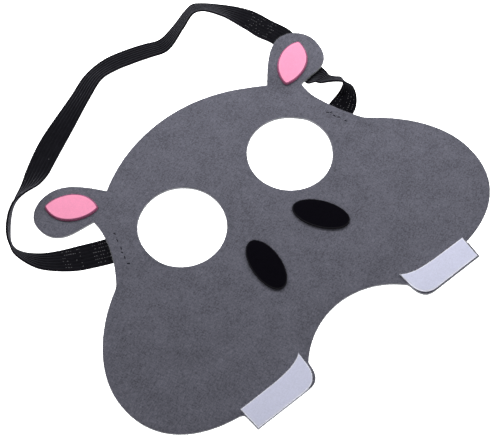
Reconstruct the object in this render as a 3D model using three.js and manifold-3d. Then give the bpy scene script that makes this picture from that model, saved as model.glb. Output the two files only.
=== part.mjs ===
// Felt hippo mask lying face up, with its elastic strap laid out above the ears.
// Millimetres. The surface it lies on is z = 0, +Z comes out of the front of the mask,
// +Y points to the ears and +X to the right as the face is seen. The origin is on the
// back of the felt, midway between the eye holes. Left and right are as seen.

import * as THREE from "three";
import { mergeVertices } from "three/addons/utils/BufferGeometryUtils.js";
import Module from "manifold-3d";

const wasm = await Module();
wasm.setup();

// Felt and elastic stock
const FACE_FELT = 1.5;
const TRIM_FELT = 1.0;
const GLUE_LINE = 0.1;
const STRAP_WIDTH = 12.0;
const STRAP_THICK = 1.0;

// Round eye holes
const EYE_SPACING = 60;
const EYE_DIAMETER = 38.6;

// Crown between the ears, an arc
const CROWN_TOP = 49.9;
const CROWN_HALF = 45.3;
const CROWN_RADIUS = 75.5;

// Mouth arch between the teeth, an arc
const MOUTH_TOP = -68.7;
const MOUTH_HALF = 27.3;
const MOUTH_RADIUS = 37;

// The felt is cut by hand, so its outline and its mouth lie a little to either side of the
// middle between the eyes. The tables below are measured from these two middles.
const OUTLINE_MIDDLE = -0.4;
const MOUTH_MIDDLE = 0.5;

// Right side of the face from the crown to the tab. Each row runs on from the row before
// to its end; a curved row is pulled towards two bow points, a straight row has none.
const SIDE = [
  { bows: [[52, 43.3], [58, 49.6]], end: [65.5, 49.6] }, // upper ear edge
  { bows: [[73, 49.6], [79, 45]], end: [79, 39] }, // ear tip
  { bows: [[79, 32], [76, 27.2]], end: [68, 26.2] }, // lower ear edge
  { bows: [], end: [58.4, 25.4] }, // ear root
  { bows: [[57.8, 15], [61.4, 4]], end: [68.4, -6.1] }, // temple
  { bows: [[81.5, -14.2], [95.7, -30]], end: [95.7, -47.2] }, // upper cheek
  { bows: [[95.7, -69.1], [79.5, -78.7]], end: [61.2, -81.2] }, // lower cheek
];

// Right tab that carries a tooth, from its shoulder to the mouth
const TAB_START = [60.8, -82.2];
const TAB = [
  { bows: [], end: [60.1, -89.5] }, // outer side
  { bows: [], end: [33.5, -89.5] }, // foot
  { bows: [[29.5, -89.5], [27.7, -86.3]], end: [27.6, -83] }, // inner corner
];

// Right tooth, cut to the tab with a straight top that sweeps up at its inner end
const TOOTH_START = [60.5, -79.3];
const TOOTH = [
  { bows: [], end: [59.6, -89.3] }, // outer side
  { bows: [], end: [36, -89.3] }, // foot
  { bows: [[31.3, -89.3], [28.8, -86.2]], end: [28.4, -82] }, // inner corner
  { bows: [], end: [28, -75.4] }, // inner side
  { bows: [[30.5, -77.6], [35, -78.8]], end: [44, -79.1] }, // swept top
];

// Left ear inset, a leaf with a slight sweep, along its own length. The right one is its mirror
// image. Both are set by hand at their own places and leans.
const INSET_START = [-11.5, 0.8];
const INSET = [
  { bows: [[-6.5, 7.2], [7, 9.6]], end: [11.5, -0.8] }, // one edge
  { bows: [[6.5, -7.2], [-7, -9.6]], end: [-11.5, 0.8] }, // other edge
];
const INSETS = [
  { side: "left", x: -62.5, y: 37.1, turn: 144 },
  { side: "right", x: 61.1, y: 36, turn: 32 },
];

// Nostrils, equal ovals set by hand in the same way
const NOSTRIL_LENGTH = 25.7;
const NOSTRIL_WIDTH = 13.1;
const NOSTRILS = [
  { side: "left", x: -13.2, y: -36.8, turn: 83 },
  { side: "right", x: 20.5, y: -32.7, turn: 125 },
];

// Strap from its left end to its right end. x and y place the edge that rests on the surface,
// lift is that edge's height, aim is the compass direction of the strap's width from that edge
// and rise is how steeply the width stands up, in degrees.
const STRAP = [
  { x: -51.1, y: 12.8, lift: 0, aim: -109, rise: 0 },
  { x: -60.2, y: 16.1, lift: 0, aim: -110, rise: 0 },
  { x: -70.2, y: 20.2, lift: 0, aim: -112, rise: 3 },
  { x: -77.3, y: 23.1, lift: 0, aim: -116, rise: 16 },
  { x: -84.3, y: 26.8, lift: 0, aim: -126, rise: 34 },
  { x: -90, y: 31.9, lift: 0, aim: -140, rise: 61 },
  { x: -92.2, y: 36.1, lift: 0, aim: -116, rise: 73 },
  { x: -92, y: 39.9, lift: 0, aim: -86, rise: 82 },
  { x: -88.7, y: 46, lift: 0, aim: -40, rise: 81 },
  { x: -84.3, y: 51.9, lift: 0, aim: -46, rise: 73 },
  { x: -79.8, y: 56.5, lift: 0, aim: -51, rise: 54 },
  { x: -73.8, y: 60.8, lift: 0, aim: -54, rise: 33 },
  { x: -67.4, y: 66.3, lift: 0, aim: -56, rise: 15 },
  { x: -54.5, y: 75.4, lift: 0, aim: -60, rise: 7 },
  { x: -30.3, y: 87.2, lift: 0, aim: -65, rise: 25 },
  { x: -17.9, y: 93.4, lift: 0, aim: -72, rise: 26 },
  { x: -6, y: 95.4, lift: 0, aim: -88, rise: 19 },
  { x: 4.8, y: 93.8, lift: 0, aim: -101, rise: 18 },
  { x: 13.8, y: 91.3, lift: 0, aim: -106, rise: 19 },
  { x: 21.6, y: 88.5, lift: 0.3, aim: -103, rise: 23 },
  { x: 31, y: 88.8, lift: 4, aim: -99, rise: 37 },
  { x: 37.8, y: 90, lift: 7, aim: -98, rise: 41 },
  { x: 43, y: 90.4, lift: 8.4, aim: -98, rise: 31 },
  { x: 47.8, y: 88.7, lift: 7.4, aim: -102, rise: 26 },
  { x: 55.5, y: 85.5, lift: 4, aim: -113, rise: 20 },
  { x: 62.5, y: 81.2, lift: 1.3, aim: -131, rise: 12 },
  { x: 67.8, y: 75.2, lift: 0, aim: -150, rise: 4 },
  { x: 71.5, y: 64.4, lift: 0, aim: -164, rise: 0 },
  { x: 74.9, y: 53.5, lift: 0, aim: -176, rise: 2 },
  { x: 73, y: 42, lift: 0, aim: -180, rise: 8 },
  { x: 72.5, y: 32, lift: 0, aim: -172, rise: 0 },
  { x: 72.7, y: 28.2, lift: 0, aim: -169, rise: -1 },
  { x: 72.4, y: 24.2, lift: 0.5, aim: -160, rise: 24 },
  { x: 72, y: 21.6, lift: 0.7, aim: -158, rise: 32 },
  { x: 73.6, y: 19.1, lift: 1, aim: -156, rise: 39 },
  { x: 75.2, y: 17.2, lift: 1.2, aim: -142, rise: 45 },
  { x: 74.4, y: 14.4, lift: 1.2, aim: -115, rise: 50 },
  { x: 71.7, y: 12.5, lift: 0.8, aim: -93, rise: 46 },
  { x: 68.1, y: 11.3, lift: 0.3, aim: -80, rise: 25 },
  { x: 62.3, y: 9.9, lift: 0, aim: -70, rise: 0 },
  { x: 52.9, y: 6.7, lift: 0, aim: -69, rise: 0 },
];
const STRAP_STEPS = 5;

// The felt lies flat except where a sewn strap end lifts the temple from below
const SEAM_LIFT = 1.3;
const SEAM_FLAT = 8;
const SEAM_SPREAD = 17;
const SEAMS = [
  { x1: -53, y1: 7.3, x2: -64, y2: 11.3 }, // left temple
  { x1: 55, y1: 1, x2: 66, y2: 5.5 }, // right temple
];

// and where the right ear steps up onto the strap and curls, most along its upper edge.
// Out is measured from the line between the ear's two notches, along is measured down that line.
const EAR_NOTCH = [45.3, 34.8];
const EAR_OUT_AIM = 54.9;
const EAR_STEP = 1.5;
const EAR_STEP_FROM = -7;
const EAR_STEP_TO = 5;
const EAR_CURL_FROM = -3;
const EAR_CURL_SOFT = 4;
const EAR_SLOPE = 0.33;
const EAR_TWIST = 0.012;
const EAR_FADE_FROM = -12;
const EAR_FADE_TO = 2;

// Sheet of felt that the pieces are cut from, with close grid lines where it isn't flat
const CELL = 4;
const SHEET_COLUMNS = [-100, ...gridLines(-84, -36), ...gridLines(28, 84), 100];
const SHEET_ROWS = [-96, ...gridLines(-16, 56)];
const CUT_DEPTH = 20;
const CURVE_STEPS = 12;

function gridLines(from, to) {
  const count = Math.round((to - from) / CELL) + 1;
  return Array.from({ length: count }, (_, i) => from + i * CELL);
}

const COLOURS = {
  grey: "#63636e",
  pink: "#f9a0c3",
  black: "#101015",
  pale: "#cbcde1",
  elastic: "#1d1c22",
};

// Height of the back of the felt above the surface
function seamLift(x, y, seam) {
  const line = new THREE.Line3(
    new THREE.Vector3(seam.x1, seam.y1, 0),
    new THREE.Vector3(seam.x2, seam.y2, 0),
  );
  const point = new THREE.Vector3(x, y, 0);
  const away = line.closestPointToPoint(point, true, new THREE.Vector3()).distanceTo(point);
  return SEAM_LIFT * (1 - THREE.MathUtils.smoothstep(away, SEAM_FLAT, SEAM_SPREAD));
}

function earLift(x, y) {
  const aim = THREE.MathUtils.degToRad(EAR_OUT_AIM);
  const away = new THREE.Vector2(x - EAR_NOTCH[0], y - EAR_NOTCH[1]);
  const out = away.x * Math.cos(aim) + away.y * Math.sin(aim);
  const along = away.x * Math.sin(aim) - away.y * Math.cos(aim);
  const step = EAR_STEP * THREE.MathUtils.smoothstep(out, EAR_STEP_FROM, EAR_STEP_TO);
  const bent = Math.max(out - EAR_CURL_FROM, 0);
  const slope = Math.max(EAR_SLOPE - EAR_TWIST * along, 0);
  const curl = (slope * bent * bent) / (bent + EAR_CURL_SOFT);
  return (step + curl) * THREE.MathUtils.smoothstep(along, EAR_FADE_FROM, EAR_FADE_TO);
}

function backHeight(x, y) {
  const seams = SEAMS.map((seam) => seamLift(x, y, seam));
  return Math.max(earLift(x, y), ...seams);
}

// Solids in and out of the cutting step
function toSolid(geometry) {
  geometry.deleteAttribute("normal");
  geometry.deleteAttribute("uv");
  const joined = mergeVertices(geometry, 1e-5);
  return new wasm.Manifold(
    new wasm.Mesh({
      numProp: 3,
      vertProperties: new Float32Array(joined.attributes.position.array),
      triVerts: new Uint32Array(joined.index.array),
    }),
  );
}

function toGeometry(solid) {
  const mesh = solid.getMesh();
  const geometry = new THREE.BufferGeometry();
  geometry.setAttribute("position", new THREE.Float32BufferAttribute(mesh.vertProperties, 3));
  geometry.setIndex(Array.from(mesh.triVerts));
  geometry.computeVertexNormals();
  return geometry;
}

// A sheet that follows the felt's height, from base to base + thick, cut to a shape
function cutFelt(shape, base, thick) {
  const wide = SHEET_COLUMNS.length - 1;
  const tall = SHEET_ROWS.length - 1;
  const sheet = new THREE.BoxGeometry(wide, tall, thick, wide, tall, 1);
  sheet.translate(wide / 2, tall / 2, base + thick / 2);
  const place = sheet.attributes.position;
  for (let i = 0; i < place.count; i += 1) {
    const x = SHEET_COLUMNS[Math.round(place.getX(i))];
    const y = SHEET_ROWS[Math.round(place.getY(i))];
    place.setXYZ(i, x, y, place.getZ(i) + backHeight(x, y));
  }
  const cutter = new THREE.ExtrudeGeometry(shape, {
    depth: CUT_DEPTH,
    bevelEnabled: false,
    curveSegments: CURVE_STEPS,
  });
  cutter.translate(0, 0, -CUT_DEPTH / 4);
  return toGeometry(toSolid(sheet).intersect(toSolid(cutter)));
}

// Follow the rows of an outline table from where the path stands
function follow(path, rows) {
  for (const { bows, end } of rows) {
    if (bows.length) {
      path.bezierCurveTo(...bows[0], ...bows[1], ...end);
    } else {
      path.lineTo(...end);
    }
  }
}

function mirrored(points) {
  return points.map((point) => new THREE.Vector2(-point.x, point.y)).reverse();
}

// The right half of a cut and its mirror image, to both sides of a middle
function halves(path, middle) {
  const shifted = (point) => new THREE.Vector2(point.x + middle, point.y);
  const points = path.getPoints(CURVE_STEPS);
  return { right: points.map(shifted), left: mirrored(points).map(shifted) };
}

function faceShape() {
  const up = Math.PI / 2;
  const crownTurn = Math.asin(CROWN_HALF / CROWN_RADIUS);
  const upper = new THREE.Path();
  upper.absarc(0, CROWN_TOP - CROWN_RADIUS, CROWN_RADIUS, up, up - crownTurn, true);
  follow(upper, SIDE);
  const mouthTurn = Math.asin(MOUTH_HALF / MOUTH_RADIUS);
  const lower = new THREE.Path();
  lower.moveTo(...TAB_START);
  follow(lower, TAB);
  lower.absarc(0, MOUTH_TOP - MOUTH_RADIUS, MOUTH_RADIUS, up - mouthTurn, up, false);
  const outline = halves(upper, OUTLINE_MIDDLE);
  const mouth = halves(lower, MOUTH_MIDDLE);
  const shape = new THREE.Shape([
    ...outline.right,
    ...mouth.right,
    ...mouth.left.slice(1),
    ...outline.left.slice(0, -1),
  ]);
  for (const side of [-1, 1]) {
    const hole = new THREE.Path();
    hole.absarc((side * EYE_SPACING) / 2, 0, EYE_DIAMETER / 2, 0, 2 * Math.PI, false);
    shape.holes.push(new THREE.Path(hole.getPoints(4 * CURVE_STEPS).slice(0, -1)));
  }
  return shape;
}

function toothPath() {
  const path = new THREE.Path();
  path.moveTo(...TOOTH_START);
  follow(path, TOOTH);
  return path;
}

function insetShape({ side, x, y, turn }) {
  const path = new THREE.Path();
  path.moveTo(...INSET_START);
  follow(path, INSET);
  const mirror = new THREE.Vector2(1, side === "left" ? 1 : -1);
  const centre = new THREE.Vector2(0, 0);
  const middle = new THREE.Vector2(x, y);
  const lean = THREE.MathUtils.degToRad(turn);
  const points = path.getPoints(2 * CURVE_STEPS).slice(0, -1);
  return new THREE.Shape(
    points.map((point) => point.multiply(mirror).rotateAround(centre, lean).add(middle)),
  );
}

function nostrilShape({ x, y, turn }) {
  const path = new THREE.Path();
  const lean = THREE.MathUtils.degToRad(turn);
  path.absellipse(x, y, NOSTRIL_LENGTH / 2, NOSTRIL_WIDTH / 2, 0, 2 * Math.PI, false, lean);
  return new THREE.Shape(path.getPoints(4 * CURVE_STEPS).slice(0, -1));
}

// Elastic strap, a flat band carried along its route
function widthDirection({ aim, rise }) {
  const turn = THREE.MathUtils.degToRad(aim);
  const stand = THREE.MathUtils.degToRad(rise);
  const flat = Math.cos(stand);
  return new THREE.Vector3(flat * Math.cos(turn), flat * Math.sin(turn), Math.sin(stand));
}

function strapGeometry() {
  const places = STRAP.map(({ x, y, lift }) => new THREE.Vector3(x, y, lift));
  const route = new THREE.CatmullRomCurve3(places);
  const width = new THREE.CatmullRomCurve3(STRAP.map(widthDirection));
  const count = (STRAP.length - 1) * STRAP_STEPS;
  const half = STRAP_THICK / 2;
  const positions = [];
  for (let i = 0; i <= count; i += 1) {
    const t = i / count;
    const edge = route.getPoint(t);
    const across = width.getPoint(t).normalize();
    const ahead = route.getTangent(t);
    const face = new THREE.Vector3().crossVectors(ahead, across).normalize();
    edge.z = Math.max(edge.z, 0) + half * Math.abs(face.z);
    const far = edge.clone().addScaledVector(across, STRAP_WIDTH);
    far.z = Math.max(far.z, half * Math.abs(face.z));
    positions.push(...edge.clone().addScaledVector(face, half));
    positions.push(...far.clone().addScaledVector(face, half));
    positions.push(...far.clone().addScaledVector(face, -half));
    positions.push(...edge.clone().addScaledVector(face, -half));
  }
  const index = [0, 1, 2, 0, 2, 3];
  for (let i = 0; i < count; i += 1) {
    for (let k = 0; k < 4; k += 1) {
      const a = 4 * i + k;
      const b = 4 * i + ((k + 1) % 4);
      index.push(a, a + 4, b, b, a + 4, b + 4);
    }
  }
  const last = 4 * count;
  index.push(last, last + 2, last + 1, last, last + 3, last + 2);
  const geometry = new THREE.BufferGeometry();
  geometry.setAttribute("position", new THREE.Float32BufferAttribute(positions, 3));
  geometry.setIndex(index);
  geometry.computeVertexNormals();
  return geometry;
}

function named(name, geometry, color, roughness) {
  const material = new THREE.MeshStandardMaterial({ color, roughness, metalness: 0 });
  material.name = name;
  const mesh = new THREE.Mesh(geometry, material);
  mesh.name = name;
  return mesh;
}

const mask = new THREE.Group();
mask.name = "hippo_mask";

const trimBase = FACE_FELT + GLUE_LINE;
const teeth = halves(toothPath(), MOUTH_MIDDLE);

mask.add(named("face", cutFelt(faceShape(), 0, FACE_FELT), COLOURS.grey, 0.95));
for (const inset of INSETS) {
  const solid = cutFelt(insetShape(inset), trimBase, TRIM_FELT);
  mask.add(named(`ear_inner_${inset.side}`, solid, COLOURS.pink, 0.95));
}
for (const nostril of NOSTRILS) {
  const solid = cutFelt(nostrilShape(nostril), trimBase, TRIM_FELT);
  mask.add(named(`nostril_${nostril.side}`, solid, COLOURS.black, 0.95));
}
for (const side of ["left", "right"]) {
  const solid = cutFelt(new THREE.Shape(teeth[side]), trimBase, TRIM_FELT);
  mask.add(named(`tooth_${side}`, solid, COLOURS.pale, 0.95));
}
mask.add(named("strap", strapGeometry(), COLOURS.elastic, 0.8));

export default mask;
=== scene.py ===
# The felt hippo mask as it looks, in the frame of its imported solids
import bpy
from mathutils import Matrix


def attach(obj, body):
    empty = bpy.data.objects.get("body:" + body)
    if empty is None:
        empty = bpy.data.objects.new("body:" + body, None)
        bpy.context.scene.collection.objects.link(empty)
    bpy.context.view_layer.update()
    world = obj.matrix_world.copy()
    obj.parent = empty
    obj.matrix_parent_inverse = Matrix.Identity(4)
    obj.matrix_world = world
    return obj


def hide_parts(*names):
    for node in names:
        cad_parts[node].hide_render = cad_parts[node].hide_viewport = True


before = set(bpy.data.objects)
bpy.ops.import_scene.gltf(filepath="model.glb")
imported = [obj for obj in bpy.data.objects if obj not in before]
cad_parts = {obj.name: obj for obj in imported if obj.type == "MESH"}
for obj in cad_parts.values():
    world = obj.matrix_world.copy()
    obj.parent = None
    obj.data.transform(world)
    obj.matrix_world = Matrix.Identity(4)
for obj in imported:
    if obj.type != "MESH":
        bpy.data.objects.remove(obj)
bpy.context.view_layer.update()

import math

import bmesh
import bpy
import numpy as np
from mathutils import Matrix, Vector, noise
from mathutils.bvhtree import BVHTree
from mathutils.geometry import delaunay_2d_cdt
from mathutils.kdtree import KDTree

# Shapes are worked out in millimetres and become metres when a mesh is made
MM = 0.001
WELD = 1e-4
SEED = 11

# Felt sheets. A face of a solid is part of its front when its normal rises more than FRONT_LEAN
FACE_THICK = 1.5
TRIM_THICK = 1.0
FACE_STEP = 0.85
TRIM_STEP = 0.5
FRONT_LEAN = 0.5
SHARP_CORNER = math.radians(24)
NO_CORNER = math.pi
FEWEST_STEPS = 2
CALMING_PASSES = 6
CLEAR_OF_RIM = 0.6
FIELD_JITTER = 0.22
HEX_ROW = math.sqrt(3) / 2
RAY_HEIGHT = 100.0

# Kind of triangle filling that leaves out what lies outside the outline
FILL_INSIDE = 2

# The cut edge in rows from front to back: how far each row stands in from the outline,
# its share of the thickness below the front, and the tone of the faces above it
# The edge tone is a lighter copy of each felt: painted light on its cut sides. The foot tone takes that
# copy on the black and pale trims, and painted contact shade on the pink insets
FRONT_TONE, LIT_EDGE_TONE, FOOT_TONE = range(3)
RIM_WIDTH = 0.4
FACE_RIM = (
    (0.15, 0.04, FRONT_TONE),
    (0.03, 0.14, LIT_EDGE_TONE),
    (0.0, 0.32, LIT_EDGE_TONE),
    (0.02, 0.5, LIT_EDGE_TONE),
    (0.0, 0.68, LIT_EDGE_TONE),
    (0.03, 0.86, LIT_EDGE_TONE),
    (0.15, 0.96, LIT_EDGE_TONE),
)
TRIM_RIM = (
    (0.15, 0.05, LIT_EDGE_TONE),
    (0.04, 0.2, LIT_EDGE_TONE),
    (0.0, 0.5, LIT_EDGE_TONE),
    (0.04, 0.85, LIT_EDGE_TONE),
    (0.15, 0.97, FOOT_TONE),
)
# The insets' cut edge flares out towards its foot, and all its rows take the foot tone: on pink, painted
# contact shade in dark pink
INSET_SHADE_RIM = (
    (0.12, 0.03, FOOT_TONE),
    (-0.02, 0.12, FOOT_TONE),
    (-0.12, 0.4, FOOT_TONE),
    (-0.25, 0.75, FOOT_TONE),
    (-0.4, 0.97, FOOT_TONE),
)
RIM_ROUGHNESS = 0.05
RIM_GRAIN = 0.6
RIM_NOISE_DEPTH = 9

# Relief of pressed felt: grain size and height. Front and back lie at two depths of the noise
RELIEF = ((2.6, 0.012), (1.1, 0.014))
FRONT_NOISE_DEPTH = 0
BACK_NOISE_DEPTH = 40

# Felt shapes: thickness, step, angle of a sharp corner, easing passes, rows of the cut edge,
# fibres on the front, fibres along the edge and what the piece lies on
FACE_SHAPE = (FACE_THICK, FACE_STEP, SHARP_CORNER, 4, FACE_RIM, 5200, 8000, "floor")
TRIM_SHAPE = (TRIM_THICK, TRIM_STEP, SHARP_CORNER, 4, TRIM_RIM, 30, 300, "face_felt")
INSET_SHAPE = (TRIM_THICK, TRIM_STEP, NO_CORNER, 2, INSET_SHADE_RIM, 30, 200, "face_felt")

# Materials of each felt by tone
GREY = ("felt_grey", "felt_grey_lit_edge")
PINK = ("felt_pink", "felt_pink_lit_edge", "felt_pink_painted_shade")
BLACK = ("felt_black", "felt_black_lit_edge", "felt_black_lit_edge")
PALE = ("felt_pale", "felt_pale_lit_edge", "felt_pale_lit_edge")

# Felt pieces: solid, shape, felt, flat width and length, and how far off its place it was glued
FELT_PIECES = (
    ("face", FACE_SHAPE, GREY, (191.4, 139.4), (0, 0)),
    ("ear_inner_left", INSET_SHAPE, PINK, (12.7, 23.0), (0, 0)),
    ("ear_inner_right", INSET_SHAPE, PINK, (12.7, 23.0), (0, 0)),
    ("nostril_left", TRIM_SHAPE, BLACK, (13.1, 25.7), (0, 0)),
    ("nostril_right", TRIM_SHAPE, BLACK, (13.1, 25.7), (0, 0)),
    ("tooth_left", TRIM_SHAPE, PALE, (13.9, 32.5), (-0.25, 0)),
    ("tooth_right", TRIM_SHAPE, PALE, (13.9, 32.5), (-0.75, 0.35)),
)

# Loose fibres: bends are shares of the length, and radii are drawn between two shares
FIBRE_KNOTS = 5
FIBRE_SIDES = 3
FIBRE_RADIUS = 0.022
FIBRE_RADIUS_SHARES = (0.7, 1.2)
FIBRE_TAPER = 1.5
FIBRE_LENGTH = (1.4, 4.0)
FIBRE_BEND = 0.25
FIBRE_LIFT = 0.03
BEND_MIDDLE = 0.08

# Fringe of the cut edge: spread in radians, depth as shares of the thickness
FRINGE_KNOTS = 3
FRINGE_LENGTH = (0.4, 1.0)
FRINGE_BEND = 0.4
FRINGE_SPREAD = 1.2
FRINGE_DEPTH = (0.05, 0.85)
FRINGE_TILT = 0.12

# Elastic strap: rib depth is a share of half the thickness, and the edge is a share of the width
STRAP_WIDTH = 12.0
STRAP_THICK = 1.0
STRAP_RIBS = 7
RIB_POINTS = 7
RIB_DEPTH = 0.52
RIB_FULLNESS = 0.7
STRAP_EDGE = 0.025
STRAP_BLUNT = 0.5
STRAP_SPLITS = 16

# Route of one strap edge from the left temple to the right one:
# x, y, lift off the floor, aim of the width in degrees and rise of the width in degrees
STRAP = (
    (-51.1, 12.8, 0, -109, 0),
    (-60.2, 16.1, 0, -110, 0),
    (-70.2, 20.2, 0, -112, 3),
    (-77.3, 23.1, 0, -116, 16),
    (-84.3, 26.8, 0, -126, 34),
    (-90, 31.9, 0, -140, 61),
    (-92.2, 36.1, 0, -116, 73),
    (-92, 39.9, 0, -86, 82),
    (-88.7, 46, 0, -40, 81),
    (-84.3, 51.9, 0, -46, 73),
    (-79.8, 56.5, 0, -51, 54),
    (-73.8, 60.8, 0, -54, 33),
    (-67.4, 66.3, 0, -56, 15),
    (-54.5, 75.4, 0, -60, 7),
    (-30.3, 87.2, 0, -65, 25),
    (-17.9, 93.4, 0, -72, 26),
    (-6, 95.4, 0, -88, 19),
    (4.8, 93.8, 0, -101, 18),
    (13.8, 91.3, 0, -106, 19),
    (21.6, 88.5, 0.3, -103, 23),
    (31, 88.8, 4, -99, 37),
    (37.8, 90, 7, -98, 41),
    (43, 90.4, 8.4, -98, 31),
    (47.8, 88.7, 7.4, -102, 26),
    (55.5, 85.5, 4, -113, 20),
    (62.5, 81.2, 1.3, -131, 12),
    (67.8, 75.2, 0, -150, 4),
    (71.5, 64.4, 0, -164, 0),
    (74.9, 53.5, 0, -176, 2),
    (73, 42, 0, -180, 8),
    (72.5, 32, 0, -172, 0),
    (72.7, 28.2, 0, -169, -1),
    (72.4, 24.2, 0.5, -160, 24),
    (72, 21.6, 0.7, -158, 32),
    (73.6, 19.1, 1, -156, 39),
    (75.2, 17.2, 1.2, -142, 45),
    (74.4, 14.4, 1.2, -115, 50),
    (71.7, 12.5, 0.8, -93, 46),
    (68.1, 11.3, 0.3, -80, 25),
    (62.3, 9.9, 0, -70, 0),
    (52.9, 6.7, 0, -69, 0),
)

# Pale core threads that show in the strap's grooves: share of the run, its spread and how many
CORE_CLUSTERS = (
    (0.075, 0.012, 100),
    (0.035, 0.012, 140),
    (0.28, 0.03, 8),
    (0.752, 0.022, 90),
    (0.96, 0.015, 60),
)
CORE_PITCH = 0.95
CORE_SHIFT = 0.15
CORE_LENGTH = (0.25, 0.5)
CORE_HEIGHT = 0.36
CORE_RADIUS = 0.13
CORE_TAPER = (0.6, 1.0, 1.0, 0.6)
CORE_SIDES = 6

# Stitches on the front of the felt: x, y, heading in degrees and length
STITCHES = (
    (-55.2, 14.4, -70, 1.3),
    (-56.1, 11.1, -100, 1.5),
    (-56.9, 7.1, -115, 1.7),
    (-57.8, 5.1, -60, 1.0),
    (-58.2, 2.6, -110, 1.6),
    (-58.6, -0.7, -30, 1.6),
    (56.9, 5.5, -45, 1.6),
    (58.3, 4.5, -15, 1.3),
    (58.1, 2.2, -75, 1.6),
    (59.2, 0.3, -40, 1.5),
    (60.4, -3.2, -60, 1.5),
)
THREAD_RADIUS = 0.19
THREAD_SIDES = 8
THREAD_KNOTS = 7
STITCH_SINK = 0.35
STITCH_CROWN = 0.12
STITCH_FLATNESS = 4

# Grain of felt and yarn: size, how many times longer than wide, heading in degrees and weight
FELT_GRAIN = (
    (0.68, 1.0, 0, 0.34),
    (0.52, 4.0, 25, 0.33),
    (0.52, 4.0, 115, 0.33),
    (9.0, 1.0, 0, 0.2),
)
YARN_GRAIN = (
    (0.5, 1.0, 0, 0.5),
    (3.0, 1.0, 0, 0.5),
)
GRAIN_DETAIL = 4.0
GRAIN_ROUGHNESS = 0.6

# Grain values of the darkest and lightest tone, and the strength and depth of the bump
FELT_RAMP = (0.38, 0.82)
FELT_BUMP = (0.35, 0.12)
YARN_RAMP = (0.3, 0.7)
YARN_BUMP = (0.4, 0.08)

# Roughness, gloss and nap
FELT_ROUGHNESS = 0.95
FELT_NAP_ROUGHNESS = 0.6
YARN_GLOSS = 0.005
YARN_NAP_ROUGHNESS = 0.3
YARN_NAP_TINT = (0.86, 0.87, 1.0, 1.0)

# Felts: colour, contrast of the grain, nap and gloss
FELTS = {
    "felt_grey": ((0.117, 0.117, 0.146), 0.69, 0.05, 0.12),
    # The edge felts are lighter copies of the fronts: painted light on the cut sides and the fringe
    "felt_grey_lit_edge": ((0.24, 0.245, 0.262), 0.25, 0.05, 0.12),
    "felt_pink": ((0.96, 0.338, 0.525), 0.1, 0.05, 0.12),
    "felt_pink_lit_edge": ((0.97, 0.46, 0.63), 0.1, 0.05, 0.12),
    # Painted contact shade: a dark pink that stands in for the shade round the foot of the insets
    "felt_pink_painted_shade": ((0.36, 0.11, 0.2), 0.2, 0.0, 0.02),
    "felt_black": ((0.0028, 0.0024, 0.0045), 0.3, 0.0, 0.03),
    "felt_black_lit_edge": ((0.016, 0.0155, 0.0185), 0.3, 0.0, 0.03),
    "felt_pale": ((0.66, 0.675, 0.84), 0.12, 0.05, 0.12),
    "felt_pale_lit_edge": ((0.8, 0.81, 0.92), 0.1, 0.05, 0.12),
}

# Yarns: colour, contrast of the grain, nap and roughness
YARNS = {
    "elastic": ((0.0075, 0.0073, 0.0095), 0.4, 0.4, 0.7),
    "elastic_core": ((0.18, 0.18, 0.19), 0.3, 0.0, 0.6),
    "stitch_thread": ((0.022, 0.022, 0.028), 0.3, 0.0, 0.6),
}

# Camera
CAMERA_AT = (-124.0, -164.0, 360.7)
CAMERA_AZIMUTH = math.radians(38.30)
CAMERA_DIP = math.radians(62.37)
CAMERA_LENS = 68.5
CAMERA_SENSOR = 36.0
CAMERA_CLIP = 10.0

# Lamps that look at the origin: name, place, width and height, and power in watts
LAMPS = (
    ("key", (110.0, 130.0, 225.0), (900.0, 120.0), 1.79),
    ("fill", (-420.0, -540.0, 600.0), (500.0, 500.0), 2.0),
)

# Surroundings
WHITE = (1.0, 1.0, 1.0, 1.0)
WORLD_STRENGTH = 0.1
FLOOR_SIDE = 40000.0
FLOOR_DROP = 0.15
FLOOR_COLOUR = (0.9, 0.9, 0.9, 1.0)
FLOOR_ROUGHNESS = 0.8
FLOOR_GLOW = 1.8


def random_for(name):
    """A random source that is the same in every run for a piece of that name."""
    return np.random.default_rng([SEED] + [ord(letter) for letter in name])


def unit(vectors):
    """Vectors of length one."""
    return vectors / np.linalg.norm(vectors, axis=-1, keepdims=True)


def step_lengths(points):
    """Lengths from each point of a line to the next."""
    return np.linalg.norm(np.diff(points, axis=0), axis=1)


def run_lengths(points):
    """Lengths from the start of a line to each of its points."""
    return np.concatenate([[0], np.cumsum(step_lengths(points))])


def flat_finder(points):
    """A search of points by their flat places."""
    finder = KDTree(len(points))
    for index, point in enumerate(points):
        finder.insert((point[0], point[1], 0), index)
    finder.balance()
    return finder


def flat_noise(places, size, depth):
    """Noise of a grain size at flat places, at some depth of the noise."""
    return np.array([noise.noise(Vector((x / size, y / size, depth))) for x, y in places])


def add_mesh(name, points, faces, materials, tones=None, smooth=True):
    """A mesh object from points in millimetres, with the number of its material for each face."""
    mesh = bpy.data.meshes.new(name)
    mesh.from_pydata((np.asarray(points) * MM).tolist(), [], faces)
    mesh.polygons.foreach_set("use_smooth", [smooth] * len(mesh.polygons))
    for material in materials:
        mesh.materials.append(material)
    if tones:
        mesh.polygons.foreach_set("material_index", tones)
    piece = bpy.data.objects.new(name, mesh)
    bpy.context.scene.collection.objects.link(piece)
    return piece


def solid_mesh(node):
    """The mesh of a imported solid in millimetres, with its split corners joined."""
    solid = bmesh.new()
    solid.from_mesh(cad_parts[node].data)
    solid.transform(Matrix.Scale(1 / MM, 4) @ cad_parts[node].matrix_world)
    bmesh.ops.remove_doubles(solid, verts=solid.verts, dist=WELD)
    solid.normal_update()
    return solid


def flat_area(node, thick):
    """The area in square metres of the sheet that a solid is cut from."""
    solid = solid_mesh(node)
    area = solid.calc_volume() / thick * MM ** 2
    solid.free()
    return area


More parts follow.
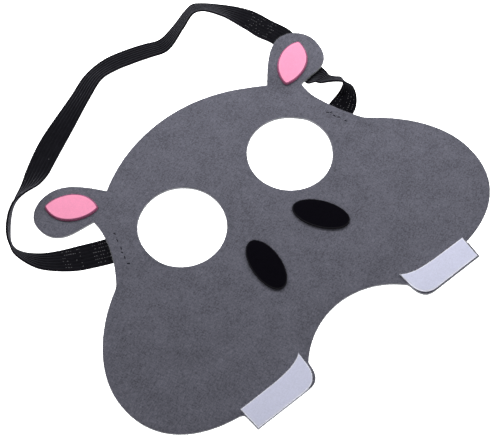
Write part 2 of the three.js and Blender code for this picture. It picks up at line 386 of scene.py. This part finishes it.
def cut_loops(solid):
    """The closed edges between the front of a sheet and its cut side, with the sheet on their left."""
    follows = {}
    for edge in solid.edges:
        fronts = [loop for loop in edge.link_loops if loop.face.normal.z > FRONT_LEAN]
        if len(fronts) == 1:
            follows[fronts[0].vert] = fronts[0].link_loop_next.vert
    loops = []
    while follows:
        start, point = follows.popitem()
        loop = [start.co.xy]
        while point is not start:
            loop.append(point.co.xy)
            point = follows.pop(point)
        loops.append(np.array(loop))
    return loops


def even_loop(points, step, corner, passes):
    """A cut edge as points at even steps, eased between its sharp corners."""
    ahead = np.roll(points, -1, axis=0) - points
    heading = np.arctan2(ahead[:, 1], ahead[:, 0])
    turn = (heading - np.roll(heading, 1) + math.pi) % math.tau - math.pi
    corners = np.flatnonzero(np.abs(turn) > corner)
    if not len(corners):
        # A loop without a corner is cut open a quarter of the way round
        corners = np.array([len(points) // 4])
    stretches = []
    for first, last in zip(corners, np.roll(corners, -1)):
        count = (last - first) % len(points) or len(points)
        stretch = points[(first + np.arange(count + 1)) % len(points)]
        run = run_lengths(stretch)
        spots = np.linspace(0, run[-1], max(FEWEST_STEPS, round(run[-1] / step)) + 1)
        eased = np.column_stack([np.interp(spots, run, stretch[:, axis]) for axis in (0, 1)])
        for _ in range(passes):
            eased[1:-1] = (eased[:-2] + 2 * eased[1:-1] + eased[2:]) / 4
        stretches.append(eased[:-1])
    return np.concatenate(stretches)


def inward(points):
    """Unit directions from a cut edge into the sheet."""
    ahead = np.roll(points, -1, axis=0) - np.roll(points, 1, axis=0)
    return unit(np.column_stack([-ahead[:, 1], ahead[:, 0]]))


def field_points(rings, step, random):
    """Jittered points in even rows over a sheet, clear of its rim."""
    edge = np.concatenate(rings)
    into = np.concatenate([inward(ring) for ring in rings])
    finder = flat_finder(edge)
    low, high = edge.min(axis=0), edge.max(axis=0)
    rows = np.arange(low[1], high[1], step * HEX_ROW)
    columns = np.arange(low[0], high[0], step)
    grid = np.array([(x + step / 2 * (row % 2), y) for row, y in enumerate(rows) for x in columns])
    grid += random.uniform(-FIELD_JITTER, FIELD_JITTER, grid.shape) * step
    kept = []
    for point in grid:
        _, index, distance = finder.find((*point, 0))
        if distance > CLEAR_OF_RIM * step and (point - edge[index]) @ into[index] > 0:
            kept.append(point)
    return np.array(kept)


def is_hole(ring):
    """Whether a cut edge runs round a hole, so that it turns to the right."""
    ahead = np.roll(ring, -1, axis=0)
    return (ring[:, 0] * ahead[:, 1] - ring[:, 1] * ahead[:, 0]).sum() < 0


def fill_sheet(rings, step, random):
    """Points and triangles of a flat sheet, and the places of its rim points in the list."""
    inside = field_points(rings, step, random)
    points = [Vector(point) for point in np.concatenate([*rings, inside])]
    edges = []
    start = 0
    for ring in rings:
        edges += [(start + index, start + (index + 1) % len(ring)) for index in range(len(ring))]
        start += len(ring)
    places, _, triangles, sources, _, _ = delaunay_2d_cdt(points, edges, [], FILL_INSIDE, WELD)
    used = sorted({corner for triangle in triangles for corner in triangle})
    renumber = {old: new for new, old in enumerate(used)}
    rim = {source: renumber[old] for old in used for source in sources[old]}
    triangles = np.array([[renumber[corner] for corner in triangle] for triangle in triangles])
    hole = np.full(len(used), -1)
    start = 0
    for number, ring in enumerate(rings):
        if is_hole(ring):
            hole[[rim[start + index] for index in range(len(ring))]] = number
        start += len(ring)
    owner = hole[triangles]
    filled = (owner[:, 0] >= 0) & (owner[:, 0] == owner[:, 1]) & (owner[:, 0] == owner[:, 2])
    return np.array([places[old] for old in used]), triangles[~filled], rim


def front_heights(tree, places, triangles):
    """Heights of a solid's front at flat places, eased over the sheet."""
    heights = []
    for x, y in places:
        above = Vector((x, y, RAY_HEIGHT))
        spot = tree.ray_cast(above, Vector((0, 0, -1)))[0]
        if spot is None:
            spot = tree.find_nearest(above)[0]
        heights.append(spot.z)
    heights = np.array(heights)
    ends = np.concatenate([triangles[:, (0, 1)], triangles[:, (1, 2)], triangles[:, (2, 0)]])
    for _ in range(CALMING_PASSES):
        total = np.zeros(len(heights))
        count = np.zeros(len(heights))
        np.add.at(total, ends[:, 0], heights[ends[:, 1]])
        np.add.at(count, ends[:, 0], 1)
        heights = (heights + total / np.maximum(count, 1)) / 2
    return heights


def relief(places, depth):
    """Uneven height of pressed felt at flat places, at some depth of its noise."""
    return sum(height * flat_noise(places, size, depth) for size, height in RELIEF)


def felt_sheet(node, thick, step, corner, passes, rim_rows, materials, offset):
    """A sheet of felt in place of a solid, the points of its front, and the points of its cut edge
    with the directions that lead out of the sheet there."""
    random = random_for(node)
    solid = solid_mesh(node)
    tree = BVHTree.FromBMesh(solid)
    loops = [even_loop(loop, step, corner, passes) + offset for loop in cut_loops(solid)]
    solid.free()
    normals = [inward(loop) for loop in loops]
    rings = [loop + RIM_WIDTH * normal for loop, normal in zip(loops, normals)]
    places, triangles, rim = fill_sheet(rings, step, random)
    heights = front_heights(tree, places, triangles)
    front = np.column_stack([places, heights + relief(places, FRONT_NOISE_DEPTH)])
    back = np.column_stack([places, heights - thick + np.abs(relief(places, BACK_NOISE_DEPTH))])
    points = [front, back]
    faces = triangles.tolist() + (triangles[:, ::-1] + len(front)).tolist()
    tones = [FRONT_TONE] * len(faces)
    row_tones = [tone for _, _, tone in rim_rows]
    total = 2 * len(front)
    start = 0
    edge_points = []
    for loop, normal in zip(loops, normals):
        count = len(loop)
        top = np.array([rim[start + index] for index in range(count)])
        rows = [top]
        for inset, drop, _ in rim_rows:
            shift = inset + RIM_ROUGHNESS * flat_noise(loop, RIM_GRAIN, RIM_NOISE_DEPTH * drop)
            level = front[top, 2] * (1 - drop) + back[top, 2] * drop
            points.append(np.column_stack([loop + normal * shift[:, None], level]))
            rows.append(total + np.arange(count))
            total += count
        rows.append(top + len(front))
        for upper, lower, tone in zip(rows, rows[1:], row_tones + row_tones[-1:]):
            ring = np.column_stack([upper, lower, np.roll(lower, -1), np.roll(upper, -1)])
            faces += ring.tolist()
            tones += [tone] * count
        edge_points.append(np.column_stack([loop, front[top, 2], -normal]))
        start += count
    piece = add_mesh(node + "_felt", np.concatenate(points), faces, materials, tones)
    return piece, front, np.concatenate(edge_points)


def tubes(lines, radii, sides):
    """Points and faces of closed tubes along equally long point lists."""
    lines = np.asarray(lines)
    count, knots, _ = lines.shape
    along = unit(np.gradient(lines, axis=1))
    out = unit(np.cross(along, (0.0, 0.0, 1.0)))
    up = np.cross(out, along)
    angle = np.arange(sides) * math.tau / sides
    spread = out[:, :, None] * np.cos(angle)[:, None] + up[:, :, None] * np.sin(angle)[:, None]
    points = lines[:, :, None] + spread * radii[:, :, None, None]
    ring = np.arange(sides)
    tube = [
        (knot * sides + a, knot * sides + b, (knot + 1) * sides + b, (knot + 1) * sides + a)
        for knot in range(knots - 1)
        for a, b in zip(np.roll(ring, -1), ring)
    ]
    caps = [tuple(ring), tuple(ring[::-1] + (knots - 1) * sides)]
    faces = [
        tuple(int(corner + index * knots * sides) for corner in face)
        for index in range(count)
        for face in tube + caps
    ]
    return points.reshape(-1, 3), faces


def bent_lines(start, heading, length, bend, knots):
    """Flat lines through their starts, bent to one side, and the shares of their lengths."""
    share = np.linspace(-0.5, 0.5, knots)
    way = np.column_stack([np.cos(heading), np.sin(heading)])
    side = np.column_stack([-way[:, 1], way[:, 0]])
    flat = start[:, None] + way[:, None] * (share * length[:, None])[..., None]
    bow = (bend * length)[:, None] * (share ** 2 - BEND_MIDDLE)
    return flat + side[:, None] * bow[..., None], share


def fibre_piece(name, flat, level, share, random, material):
    """Fibres along flat lines at their levels, thinner towards both ends."""
    thickness = random.uniform(*FIBRE_RADIUS_SHARES, (len(flat), 1))
    radii = FIBRE_RADIUS * thickness * (1 - FIBRE_TAPER * share ** 2)
    lines = np.concatenate([flat, level[..., None]], axis=2)
    points, faces = tubes(lines, radii, FIBRE_SIDES)
    return add_mesh(name, points, faces, [material])


def fibres(name, front, amount, material):
    """Loose fibres that lie on the front of a felt sheet."""
    random = random_for(name)
    finder = flat_finder(front)
    start = front[random.integers(len(front), size=amount), :2]
    heading = random.uniform(0, math.tau, amount)
    length = random.uniform(*FIBRE_LENGTH, amount)
    bend = random.uniform(-FIBRE_BEND, FIBRE_BEND, amount)
    flat, share = bent_lines(start, heading, length, bend, FIBRE_KNOTS)
    ground = np.array([[front[finder.find((x, y, 0))[1], 2] for x, y in line] for line in flat])
    level = ground + random.uniform(0, FIBRE_LIFT, (amount, 1)) * (1 - (2 * share) ** 2)
    return fibre_piece(name, flat, level, share, random, material)


def fringe(name, edge_points, thick, amount, material):
    """Short fibres that stand out of the cut edge of a felt sheet."""
    random = random_for(name)
    rims = edge_points[random.integers(len(edge_points), size=amount)]
    outward = np.arctan2(rims[:, 4], rims[:, 3])
    heading = outward + random.uniform(-FRINGE_SPREAD, FRINGE_SPREAD, amount)
    length = random.uniform(*FRINGE_LENGTH, amount)
    bend = random.uniform(-FRINGE_BEND, FRINGE_BEND, amount)
    flat, share = bent_lines(rims[:, :2], heading, length, bend, FRINGE_KNOTS)
    root = rims[:, 2] - thick * random.uniform(*FRINGE_DEPTH, amount)
    level = root[:, None] + random.uniform(-FRINGE_TILT, FRINGE_TILT, (amount, 1)) * share
    return fibre_piece(name, flat, level, share, random, material)


def through(knots, shares):
    """A smooth curve through knots at shares of its knot list, closer where the knots are closer."""
    ends = np.vstack([2 * knots[0] - knots[1], knots, 2 * knots[-1] - knots[-2]])
    place = shares * (len(knots) - 1)
    index = np.minimum(place.astype(int), len(knots) - 2)
    weight = (place - index)[:, None]
    before, first, second, after = (ends[index + offset] for offset in range(4))

    def gap(start, end):
        return np.maximum(np.sqrt(np.linalg.norm(end - start, axis=1)), WELD)[:, None]

    def slope(start, middle, end, come, leave):
        return (middle - start) / come - (end - start) / (come + leave) + (end - middle) / leave

    gap_before, gap_here, gap_after = gap(before, first), gap(first, second), gap(second, after)
    depart = slope(before, first, second, gap_before, gap_here) * gap_here
    arrive = slope(first, second, after, gap_here, gap_after) * gap_here
    square = 3 * (second - first) - 2 * depart - arrive
    cube = 2 * (first - second) + depart + arrive
    return first + depart * weight + square * weight ** 2 + cube * weight ** 3


def strap_frame():
    """Both edge lines of the strap's middle layer, and the direction that its face looks in."""
    rows = np.array(STRAP, float)
    aim, rise = np.radians(rows[:, 3]), np.radians(rows[:, 4])
    shares = np.linspace(0, 1, (len(rows) - 1) * STRAP_SPLITS + 1)
    near = through(rows[:, :3], shares)
    across = np.column_stack([np.cos(rise) * np.cos(aim), np.cos(rise) * np.sin(aim), np.sin(rise)])
    across = unit(through(across, shares))
    face = unit(np.cross(np.gradient(near, axis=0), across))
    rest = STRAP_THICK / 2 * np.abs(face[:, 2])
    near[:, 2] = np.maximum(near[:, 2], 0) + rest
    far = near + across * STRAP_WIDTH
    far[:, 2] = np.maximum(far[:, 2], rest)
    return near, far, face


def rib_section():
    """The strap's cross section as shares of its width and of half its thickness."""
    across = np.linspace(0, 1, STRAP_RIBS * RIB_POINTS + 1)
    inner = np.minimum(across, 1 - across)
    crest = np.abs(np.sin(math.pi * STRAP_RIBS * across)) ** RIB_FULLNESS
    # The outer halves of both outer ribs stay full
    crest[inner < 0.5 / STRAP_RIBS] = 1
    corner = np.minimum(inner / STRAP_EDGE, 1)
    rounded = np.sqrt(1 - (1 - corner) ** 2)
    return across, (1 - RIB_DEPTH * (1 - crest)) * np.maximum(rounded, STRAP_BLUNT)


def strap_piece(material):
    """The ribbed elastic as one closed band."""
    near, far, face = strap_frame()
    across, height = rib_section()
    half = STRAP_THICK / 2
    middle = near[:, None] + (far - near)[:, None] * across[:, None]
    over = middle + face[:, None] * (half * height)[:, None]
    under = middle - face[:, None] * (half * height)[:, None]
    rings = np.concatenate([over, under[:, ::-1]], axis=1)
    count, size, _ = rings.shape
    faces = []
    for row in range(count - 1):
        first = row * size + np.arange(size)
        second = np.roll(first, -1)
        faces += np.column_stack([first, second, second + size, first + size]).tolist()
    for row, flip in ((0, -1), (count - 1, 1)):
        for column in range(size // 2 - 1):
            upper = row * size + column
            lower = row * size + size - 1 - column
            cap = [upper, upper + 1, lower - 1, lower]
            faces.append(cap[::flip])
    return add_mesh("strap_band", rings.reshape(-1, 3), faces, [material])


def core_threads(material):
    """Short pale lengths of the strap's core that show in its grooves."""
    random = random_for("core")
    near, far, face = strap_frame()
    run = run_lengths((near + far) / 2)
    lines = []
    for share, spread, amount in CORE_CLUSTERS:
        for _ in range(amount):
            groove = random.integers(1, STRAP_RIBS) / STRAP_RIBS
            middle = run[-1] * (share + spread * random.uniform(-1, 1))
            shift = random.uniform(-CORE_SHIFT, CORE_SHIFT)
            middle = CORE_PITCH * (round(middle / CORE_PITCH) + shift)
            reach = random.uniform(*CORE_LENGTH) / 2
            spots = np.linspace(middle - reach, middle + reach, len(CORE_TAPER))
            side = 1 if random.uniform() < 0.5 else -1
            path = near + (far - near) * groove + side * STRAP_THICK * CORE_HEIGHT * face
            lines.append(np.column_stack([np.interp(spots, run, path[:, axis]) for axis in range(3)]))
    radii = CORE_RADIUS * np.tile(CORE_TAPER, (len(lines), 1))
    points, faces = tubes(lines, radii, CORE_SIDES)
    return add_mesh("strap_core_threads", points, faces, [material])


def stitches(front, material):
    """Thread that comes through the felt at both strap ends."""
    finder = flat_finder(front)
    share = np.linspace(-1, 1, THREAD_KNOTS)
    lines = []
    for x, y, heading, length in STITCHES:
        ground = front[finder.find((x, y, 0))[1], 2]
        way = np.array([math.cos(math.radians(heading)), math.sin(math.radians(heading))])
        flat = np.array([x, y]) + np.outer(share * length / 2, way)
        level = ground + STITCH_CROWN - (STITCH_SINK + STITCH_CROWN) * share ** STITCH_FLATNESS
        lines.append(np.column_stack([flat, level]))
    radii = np.full((len(lines), THREAD_KNOTS), THREAD_RADIUS)
    points, faces = tubes(lines, radii, THREAD_SIDES)
    return add_mesh("strap_stitches", points, faces, [material])


def set_inputs(node, values):
    """Puts constant values on a node's own sockets."""
    for key, value in values.items():
        node.inputs[key].default_value = value


def add_node(tree, kind, inputs=None, **settings):
    """A shader node with its settings and its input values or links."""
    made = tree.nodes.new(kind)
    for key, value in settings.items():
        setattr(made, key, value)
    for key, value in (inputs or {}).items():
        if isinstance(value, bpy.types.NodeSocket):
            tree.links.new(value, made.inputs[key])
        else:
            made.inputs[key].default_value = value
    return made


def blank_material(name):
    """A material with one Principled shader, its node tree and that shader."""
    material = bpy.data.materials.new(name)
    material.use_nodes = True
    shader = material.node_tree.nodes["Principled BSDF"]
    return material, material.node_tree, shader


def grain(tree, rows):
    """One value from several noises, stretched along their headings."""
    place = add_node(tree, "ShaderNodeTexCoord").outputs["Object"]
    total = None
    for size, stretch, heading, weight in rows:
        mapped = add_node(tree, "ShaderNodeMapping", {
            "Vector": place,
            "Rotation": (0, 0, math.radians(heading)),
            "Scale": (size * stretch * MM, size * MM, size * MM),
        }, vector_type="TEXTURE")
        patch = add_node(tree, "ShaderNodeTexNoise", {
            "Vector": mapped.outputs["Vector"],
            "Scale": 1.0,
            "Detail": GRAIN_DETAIL,
            "Roughness": GRAIN_ROUGHNESS,
        })
        share = {0: patch.outputs["Fac"], 1: weight}
        value = add_node(tree, "ShaderNodeMath", share, operation="MULTIPLY").outputs[0]
        if total is not None:
            value = add_node(tree, "ShaderNodeMath", {0: value, 1: total}, operation="ADD").outputs[0]
        total = value
    return total


def grained_material(name, rows, colour, contrast, ramp_ends, bump_size):
    """A material whose colour and bump follow one grain, and its shader."""
    material, tree, shader = blank_material(name)
    value = grain(tree, rows)
    ramp = add_node(tree, "ShaderNodeValToRGB", {"Fac": value})
    tints = (1 - contrast, 1 + contrast)
    for stop, position, tint in zip(ramp.color_ramp.elements, ramp_ends, tints):
        stop.position = position
        stop.color = (*[channel * tint for channel in colour], 1)
    strength, depth = bump_size
    bump = add_node(tree, "ShaderNodeBump", {"Height": value, "Strength": strength, "Distance": depth * MM})
    tree.links.new(ramp.outputs["Color"], shader.inputs["Base Color"])
    tree.links.new(bump.outputs["Normal"], shader.inputs["Normal"])
    return material, shader


def felt_material(name, colour, contrast, nap, gloss):
    """Pressed felt: a matte base with streaky grain and a soft nap."""
    material, shader = grained_material(name, FELT_GRAIN, colour, contrast, FELT_RAMP, FELT_BUMP)
    set_inputs(shader, {
        "Roughness": FELT_ROUGHNESS,
        "Specular IOR Level": gloss,
        "Sheen Weight": nap,
        "Sheen Roughness": FELT_NAP_ROUGHNESS,
    })
    return material


def yarn_material(name, colour, contrast, nap, roughness):
    """Yarn: a dark or pale base with fine grain and a nap that shows where it turns away."""
    material, shader = grained_material(name, YARN_GRAIN, colour, contrast, YARN_RAMP, YARN_BUMP)
    set_inputs(shader, {
        "Roughness": roughness,
        "Specular IOR Level": YARN_GLOSS,
        "Sheen Weight": nap,
        "Sheen Roughness": YARN_NAP_ROUGHNESS,
        "Sheen Tint": YARN_NAP_TINT,
    })
    return material


def declare(piece, node=None):
    """Puts a piece on the mask and hides the solid that it stands for."""
    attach(piece, "root")
    if node:
        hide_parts(node)


# Materials by name
felts = {name: felt_material(name, *look) for name, look in FELTS.items()}
yarns = {name: yarn_material(name, *look) for name, look in YARNS.items()}

# Felt
fronts = {}
for node, shape, felt, flat, offset in FELT_PIECES:
    thick, step, corner, passes, rim_rows, amount, edge_amount, support = shape
    materials = [felts[name] for name in felt]
    piece, front, edge_points = felt_sheet(node, thick, step, corner, passes, rim_rows, materials, offset)
    fronts[node] = front
    declare(piece, node)
    nap = fibres(node + "_fibres", front, amount, materials[FRONT_TONE])
    declare(nap)
    # The fringe takes the lighter edge felt, with its painted light
    fluff = fringe(node + "_fringe", edge_points, thick, edge_amount, materials[LIT_EDGE_TONE])
    declare(fluff)
    area = flat_area(node, thick)

# Strap and stitches
band = strap_piece(yarns["elastic"])
specks = core_threads(yarns["elastic_core"])
sewing = stitches(fronts["face"], yarns["stitch_thread"])
declare(band, "strap")
declare(specks)
declare(sewing)
near_edge, far_edge, _ = strap_frame()

# Floor
floor_material, _, floor_shader = blank_material("floor_white")
set_inputs(floor_shader, {
    "Base Color": FLOOR_COLOUR,
    "Roughness": FLOOR_ROUGHNESS,
    "Emission Color": WHITE,
    "Emission Strength": FLOOR_GLOW,
})
reach = FLOOR_SIDE / 2
corners = [(-reach, -reach), (reach, -reach), (reach, reach), (-reach, reach)]
floor_points = [(x, y, -FLOOR_DROP) for x, y in corners]
floor = add_mesh("floor", floor_points, [(0, 1, 2, 3)], [floor_material], smooth=False)

# Light
for name, place, size, power in LAMPS:
    lamp_data = bpy.data.lights.new(name, "AREA")
    lamp_data.shape = "RECTANGLE"
    lamp_data.size, lamp_data.size_y = (side * MM for side in size)
    lamp_data.energy = power
    lamp = bpy.data.objects.new(name, lamp_data)
    lamp.location = Vector(place) * MM
    lamp.rotation_euler = (-Vector(place)).to_track_quat("-Z", "Y").to_euler()
    bpy.context.scene.collection.objects.link(lamp)

world = bpy.data.worlds.new("studio")
world.use_nodes = True
set_inputs(world.node_tree.nodes["Background"], {"Color": WHITE, "Strength": WORLD_STRENGTH})
bpy.context.scene.world = world

# Camera
camera_data = bpy.data.cameras.new("camera")
camera_data.lens = CAMERA_LENS
camera_data.sensor_width = CAMERA_SENSOR
camera_data.clip_start = CAMERA_CLIP * MM
camera = bpy.data.objects.new("camera", camera_data)
camera.location = Vector(CAMERA_AT) * MM
look = Vector((
    math.sin(CAMERA_AZIMUTH) * math.cos(CAMERA_DIP),
    math.cos(CAMERA_AZIMUTH) * math.cos(CAMERA_DIP),
    -math.sin(CAMERA_DIP),
))
camera.rotation_euler = look.to_track_quat("-Z", "Y").to_euler()
bpy.context.scene.collection.objects.link(camera)
bpy.context.scene.camera = camera
bpy.context.scene.view_settings.view_transform = "Standard"
